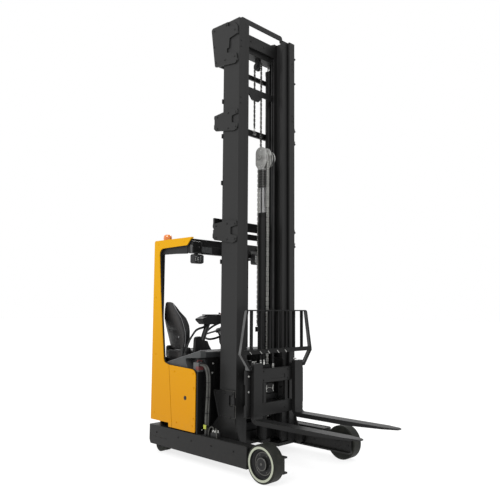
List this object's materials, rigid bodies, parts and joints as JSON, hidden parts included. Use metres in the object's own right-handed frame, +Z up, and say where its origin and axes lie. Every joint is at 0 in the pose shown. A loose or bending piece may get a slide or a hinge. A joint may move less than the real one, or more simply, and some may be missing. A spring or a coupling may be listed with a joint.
{
  "type": "sit-on reach truck with triple mast and forks",
  "caption": "Reach truck with a side-facing seat under an overhead guard, load legs, a mast that slides forward and lifts, and forks with a load backrest.",
  "frame": {"origin": "on the floor, in the middle of the truck's length and width", "axes": "+X forward towards the fork tips, +Y to the truck's left, +Z up"},
  "size_m": [2.412, 1.285, 4.511],
  "materials": {
    "yellow_paint": "satin",
    "black_paint": "satin",
    "grey_plastic": "textured",
    "dark_plastic": "textured",
    "seat_vinyl": "matt",
    "steel": "bright",
    "tyre": "matt",
    "lamp": "gloss",
    "beacon": "gloss"
  },
  "bodies": {
    "chassis": {"chassis_frame": "black_paint", "guard_side_right": "yellow_paint", "guard_side_left": "yellow_paint", "guard_roof": "black_paint", "guard_front": "black_paint", "side_cover_right": "yellow_paint", "side_cover_left": "yellow_paint", "rear_cover": "yellow_paint", "cab_floor": "black_paint", "battery": "black_paint", "battery_bulkhead": "black_paint", "battery_hood": "grey_plastic", "side_cowl_right": "grey_plastic", "seat_pedestal": "dark_plastic", "seat_cushion": "seat_vinyl", "seat_back": "seat_vinyl", "armrest_pod": "dark_plastic", "steering_console": "dark_plastic", "steering_wheel": "dark_plastic", "pedals": "dark_plastic", "work_lamp_right": "lamp", "work_lamp_left": "lamp", "beacon": "beacon", "reach_cylinder": "black_paint", "control_cable": "dark_plastic", "battery_cables": "dark_plastic"},
    "drive_yoke": {"drive_yoke": "black_paint"},
    "drive_wheel": {"drive_wheel": "tyre"},
    "caster_fork": {"caster_fork": "black_paint"},
    "caster_wheels": {"caster_wheels": "tyre"},
    "load_wheel_right": {"load_wheel_right": "tyre"},
    "load_wheel_left": {"load_wheel_left": "tyre"},
    "reach_frame": {"reach_carriage": "black_paint", "outer_rail_right": "black_paint", "outer_rail_left": "black_paint", "mast_tie_top": "black_paint", "mast_tie_upper": "black_paint", "mast_tie_lower": "black_paint", "lift_cylinder_right": "black_paint", "lift_cylinder_left": "black_paint", "reach_rod": "steel"},
    "middle_mast": {"middle_rail_right": "black_paint", "middle_rail_left": "black_paint", "middle_top_beam": "black_paint", "middle_foot_bar": "black_paint", "lift_rod_right": "steel", "lift_rod_left": "steel"},
    "inner_mast": {"inner_rail_right": "black_paint", "inner_rail_left": "black_paint", "inner_top_bar": "black_paint", "inner_hoop": "black_paint", "free_lift_cylinder": "black_paint", "anchor_chain": "steel"},
    "free_lift_head": {"free_lift_head": "steel"},
    "lift_carriage": {"lift_carriage": "black_paint", "lift_chain": "steel"},
    "fork_carrier": {"fork_carrier": "black_paint", "load_backrest": "black_paint", "fork_right": "black_paint", "fork_left": "black_paint"}
  },
  "joints": [
    {"name": "load_wheel_right_spin", "type": "hinge", "parent": "chassis", "child": "load_wheel_right", "pos_m": [0.412, -0.58, 0.165], "axis": [0, 1, 0], "continuous": true},
    {"name": "load_wheel_left_spin", "type": "hinge", "parent": "chassis", "child": "load_wheel_left", "pos_m": [0.412, 0.58, 0.165], "axis": [0, 1, 0], "continuous": true},
    {"name": "steering", "type": "hinge", "parent": "chassis", "child": "drive_yoke", "pos_m": [-0.97296, 0.2, 0.44], "axis": [0, 0, 1], "range_deg": [-90, 90]},
    {"name": "drive_wheel_spin", "type": "hinge", "parent": "drive_yoke", "child": "drive_wheel", "pos_m": [-0.97296, 0.2, 0.1715], "axis": [0, 1, 0], "continuous": true},
    {"name": "caster_swivel", "type": "hinge", "parent": "chassis", "child": "caster_fork", "pos_m": [-1.09, -0.502, 0.245], "axis": [0, 0, 1], "continuous": true},
    {"name": "caster_wheels_spin", "type": "hinge", "parent": "caster_fork", "child": "caster_wheels", "pos_m": [-1.104, -0.502, 0.07], "axis": [0, 1, 0], "continuous": true},
    {"name": "reach", "type": "slide", "parent": "chassis", "child": "reach_frame", "axis": [1, 0, 0], "range_m": [0, 0.55]},
    {"name": "mast_lift", "type": "slide", "parent": "reach_frame", "child": "middle_mast", "axis": [0, 0, 1], "range_m": [0, 3.45]},
    {"name": "inner_lift", "type": "slide", "parent": "middle_mast", "child": "inner_mast", "axis": [0, 0, 1], "range_m": [0, 3.45]},
    {"name": "carriage_lift", "type": "slide", "parent": "inner_mast", "child": "lift_carriage", "axis": [0, 0, 1], "range_m": [-0.385, 2.45]},
    {"name": "free_lift", "type": "slide", "parent": "inner_mast", "child": "free_lift_head", "axis": [0, 0, 1], "range_m": [-0.1925, 1.225]},
    {"name": "fork_tilt", "type": "hinge", "parent": "lift_carriage", "child": "fork_carrier", "pos_m": [-0.053, 0, 0.56], "axis": [0, 1, 0], "range_deg": [-4, 2]}
  ],
  "couplings": [
    {"joint": "inner_lift", "follows": "mast_lift", "ratio": 1},
    {"joint": "free_lift", "follows": "carriage_lift", "ratio": 0.5}
  ]
}
